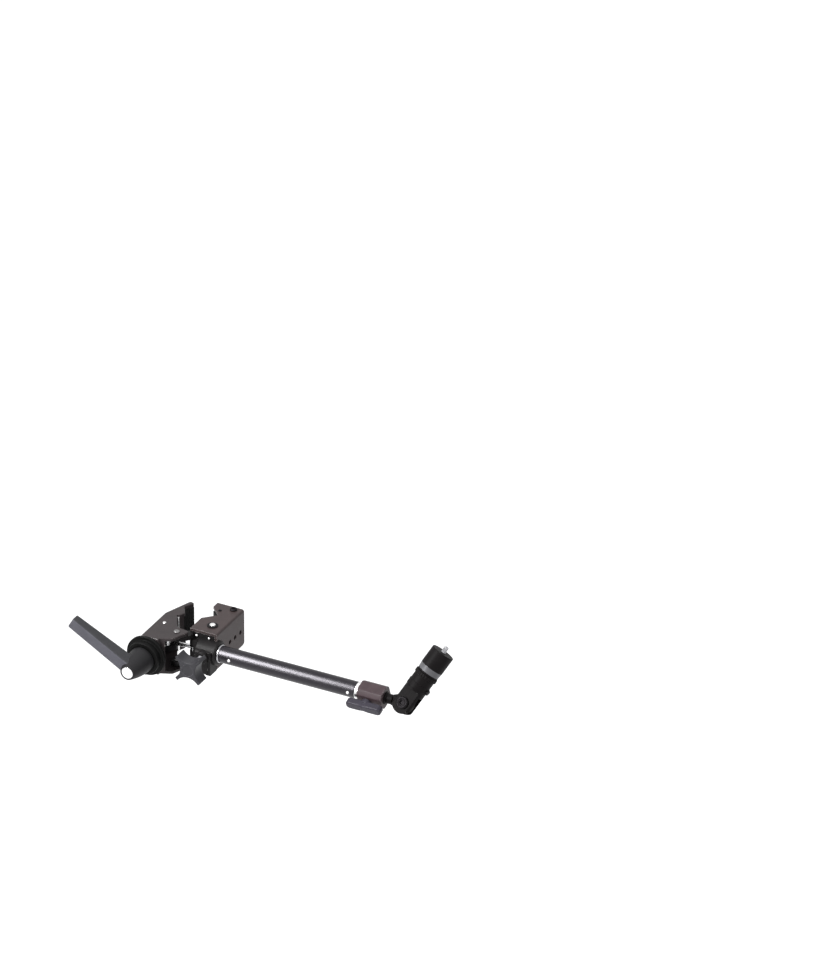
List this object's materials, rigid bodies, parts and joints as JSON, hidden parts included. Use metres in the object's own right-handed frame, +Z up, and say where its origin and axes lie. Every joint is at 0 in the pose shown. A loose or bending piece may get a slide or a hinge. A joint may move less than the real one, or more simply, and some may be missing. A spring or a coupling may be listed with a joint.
{
  "type": "extension arm",
  "caption": "Extension arm for camera and lighting gear: lever jaw clamp for a round pole, short tube arm and a tilting, turning head with a flat top.",
  "frame": {"origin": "on the axis of the pole that the jaws grip, at the jaws' mid height", "axes": "+Z up along the gripped pole, +X along the arm from the clamp to the head, -Y towards the lever"},
  "size_m": [0.4608, 0.1639, 0.0976],
  "materials": {
    "channel_paint": "worn satin black paint",
    "black_casting": "satin black coating on cast metal",
    "jaw_paint": "satin black coating on cast metal",
    "pad_rubber": "matt",
    "bright_steel": "bright plated",
    "steel": "plain turned steel",
    "dark_steel": "blackened",
    "bearing_bronze": "plain",
    "disc_plastic": "satin black",
    "lever_plastic": "satin blue-grey",
    "cap_metal": "bright satin",
    "knob_plastic": "satin dark grey",
    "t_knob_plastic": "satin grey",
    "tube_finish": "satin black anodised",
    "block_paint": "satin brown-black coating",
    "head_finish": "matt black anodised",
    "friction_lining": "pressed fibre"
  },
  "bodies": {
    "clamp_body": {"jaw_channel": "channel_paint", "v_block": "black_casting", "fixed_pad_far": "pad_rubber", "fixed_pad_near": "pad_rubber", "channel_pin": "bright_steel", "channel_pin_washer": "dark_steel", "channel_bolt": "dark_steel", "channel_nut": "dark_steel", "channel_rivet": "dark_steel", "pad_screw_1": "dark_steel", "pad_screw_2": "dark_steel", "pad_screw_3": "dark_steel", "socket_casting": "black_casting", "hinge_pin_upper": "bright_steel", "hinge_pin_lower": "bright_steel", "tie_rod_fixed_pin": "bright_steel", "front_screw_left": "bright_steel", "front_screw_right": "bright_steel"},
    "moving_jaw": {"jaw_housing": "jaw_paint", "jaw_pad_far": "pad_rubber", "jaw_pad_near": "pad_rubber", "pad_pin": "bright_steel", "housing_rivet": "bright_steel", "spindle_bush": "bearing_bronze"},
    "lever_spindle": {"spindle": "steel", "thrust_disc": "disc_plastic", "spindle_clip": "steel", "lever_cap": "cap_metal", "ratchet_spring": "steel"},
    "lever": {"lever_handle": "lever_plastic"},
    "wedge_nut": {"wedge": "steel"},
    "rod": {"tie_rod": "bright_steel", "tie_rod_free_pin": "steel"},
    "stud_pad_slide": {"stud_pad": "bearing_bronze"},
    "star_knob_turn": {"star_knob_screw": "steel", "star_knob": "knob_plastic"},
    "arm": {"clamp_stud": "bright_steel", "arm_tube": "tube_finish", "cross_pin_near": "bright_steel", "cross_pin_far": "bright_steel", "end_collar": "bright_steel", "socket_block": "block_paint"},
    "head_pad_slide": {"head_pad": "bearing_bronze"},
    "t_knob_turn": {"t_knob_screw": "steel", "t_knob": "t_knob_plastic"},
    "head": {"head_spigot": "head_finish", "friction_washer_front": "friction_lining", "friction_washer_back": "friction_lining"},
    "fork": {"fork_post": "head_finish", "pivot_bolt": "dark_steel", "pivot_nut": "steel", "pan_lock_screw": "dark_steel"},
    "barrel": {"lock_ring": "head_finish", "swivel_barrel": "head_finish", "swivel_bolt": "steel", "top_stud": "steel"}
  },
  "joints": [
    {"name": "lever_turn", "type": "hinge", "parent": "moving_jaw", "child": "lever_spindle", "pos_m": [-0.026, -0.0864, 0], "axis": [0, 1, 0], "range_deg": [-1080, 1080]},
    {"name": "jaw_swing", "type": "hinge", "parent": "clamp_body", "child": "moving_jaw", "pos_m": [0, -0.059, 0], "axis": [0, 0, 1], "range_deg": [-18.05, 18.05]},
    {"name": "wedge_slide", "type": "slide", "parent": "moving_jaw", "child": "wedge_nut", "axis": [0, 1, 0], "range_m": [-0.00602, 0.00602]},
    {"name": "tie_rod_swing", "type": "hinge", "parent": "clamp_body", "child": "rod", "pos_m": [0.017, -0.044, 0], "axis": [0, 0, 1], "range_deg": [-9.95, 9.95]},
    {"name": "lever_lift", "type": "slide", "parent": "lever_spindle", "child": "lever", "axis": [0, -1, 0], "range_m": [0, 0.005], "stiffness_N_per_m": 800, "deforming": ["ratchet_spring"]},
    {"name": "star_knob_spin", "type": "hinge", "parent": "stud_pad_slide", "child": "star_knob_turn", "pos_m": [0.036, -0.043, 0], "axis": [0, -1, 0], "range_deg": [0, 901]},
    {"name": "stud_pad_press", "type": "slide", "parent": "clamp_body", "child": "stud_pad_slide", "axis": [0, -1, 0], "range_m": [0, 0.00375]},
    {"name": "arm_turn", "type": "hinge", "parent": "clamp_body", "child": "arm", "pos_m": [0.051, -0.043, 0], "axis": [1, 0, 0], "range_deg": [-180, 180]},
    {"name": "t_knob_spin", "type": "hinge", "parent": "head_pad_slide", "child": "t_knob_turn", "pos_m": [0.2602, -0.043, 0], "axis": [0, -0.9397, -0.342], "range_deg": [0, 1081]},
    {"name": "head_pad_press", "type": "slide", "parent": "arm", "child": "head_pad_slide", "axis": [0, -0.9397, -0.342], "range_m": [0, 0.003]},
    {"name": "head_turn", "type": "hinge", "parent": "arm", "child": "head", "pos_m": [0.2794, -0.043, 0], "axis": [1, 0, 0], "range_deg": [-180, 180]},
    {"name": "head_tilt", "type": "hinge", "parent": "head", "child": "fork", "pos_m": [0.3062, -0.043, 0], "axis": [0, -0.848, 0.5299], "range_deg": [-154, 38]},
    {"name": "head_pan", "type": "hinge", "parent": "fork", "child": "barrel", "pos_m": [0.32247, -0.02364, 0.03099], "axis": [0.4067, 0.4841, 0.7747], "range_deg": [-180, 180]}
  ],
  "couplings": [
    {"joint": "jaw_swing", "follows": "lever_turn", "ratio": -0.016667},
    {"joint": "wedge_slide", "follows": "lever_turn", "m_per_rad": 0.00031831},
    {"joint": "tie_rod_swing", "follows": "lever_turn", "ratio": -0.0091667},
    {"joint": "star_knob_spin", "follows": "stud_pad_press", "rad_per_m": 4188.8},
    {"joint": "t_knob_spin", "follows": "head_pad_press", "rad_per_m": 6283.2}
  ]
}
